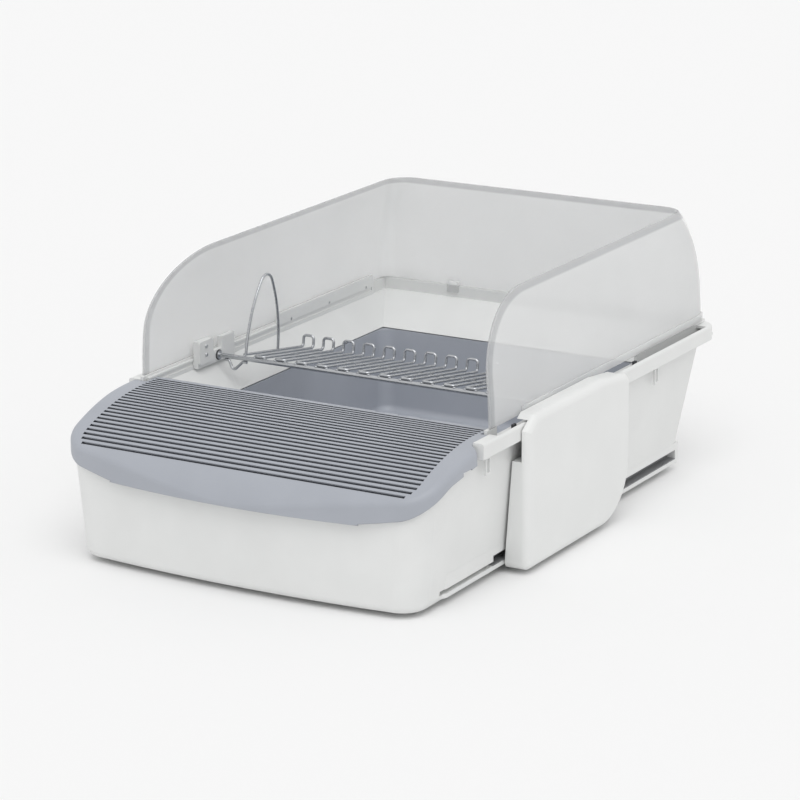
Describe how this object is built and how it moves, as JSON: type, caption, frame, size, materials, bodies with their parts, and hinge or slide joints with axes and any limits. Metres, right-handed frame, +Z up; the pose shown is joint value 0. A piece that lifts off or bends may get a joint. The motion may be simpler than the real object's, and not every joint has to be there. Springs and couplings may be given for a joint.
{
  "type": "self-cleaning litter box",
  "caption": "Open tub with a litter pan, a frosted splash hood, a ribbed step in front and a wire comb that a side handle slides through the litter and tips over the front.",
  "frame": {"origin": "on the ground under the middle of the whole object's footprint", "axes": "+X to the handle's side, +Y from the step to the rear, +Z up"},
  "size_m": [0.445, 0.655, 0.28],
  "materials": {
    "tub_white": "injection-moulded polypropylene, satin white",
    "handle_white": "injection-moulded plastic, smooth white",
    "pan_grey": "polypropylene, satin mid grey",
    "pad_blue_grey": "moulded plastic, satin pale blue-grey",
    "hood_frosted": "frosted translucent polypropylene",
    "rubber_grey": "soft dark grey rubber",
    "slide_grey": "slippery dark grey acetal",
    "bright_steel": "bright steel",
    "chromed_wire": "bright plated steel wire"
  },
  "bodies": {
    "root": {"base_tub": "tub_white", "tub_feet": "rubber_grey", "litter_pan": "pan_grey", "waste_bin": "pan_grey", "guide_strip": "slide_grey", "upper_frame": "tub_white", "frame_clips": "tub_white", "channel_strip": "slide_grey", "travel_stops": "rubber_grey", "left_rail": "handle_white", "rail_screws": "bright_steel"},
    "pad": {"step_pad": "pad_blue_grey"},
    "hood": {"hood": "hood_frosted"},
    "slider": {"left_carriage": "handle_white", "left_end_plate": "handle_white", "plate_screws": "bright_steel", "left_bush": "slide_grey", "right_bush": "slide_grey", "friction_washers": "rubber_grey", "right_carriage": "handle_white", "slider_bracket": "handle_white", "carriage_screws": "bright_steel", "slider_panel": "handle_white", "panel_screws": "bright_steel", "lower_shoe": "slide_grey"},
    "comb": {"comb_shaft": "chromed_wire", "comb_fingers": "chromed_wire", "comb_cross_wire": "chromed_wire", "guard_hoop": "chromed_wire", "crank_wire": "chromed_wire", "shaft_rings": "bright_steel"}
  },
  "joints": [
    {"name": "handle_slide", "type": "slide", "parent": "root", "child": "slider", "axis": [0, 1, 0], "range_m": [-0.05, 0.165]},
    {"name": "comb_tip", "type": "hinge", "parent": "slider", "child": "comb", "pos_m": [-0.0045, -0.045, 0.1538], "axis": [1, 0, 0], "range_deg": [-71, 95]},
    {"name": "hood_lift", "type": "slide", "parent": "root", "child": "hood", "axis": [0, 0, 1], "range_m": [0, 0.1]},
    {"name": "pad_pull", "type": "slide", "parent": "root", "child": "pad", "axis": [0, -1, 0], "range_m": [0, 0.12]}
  ]
}
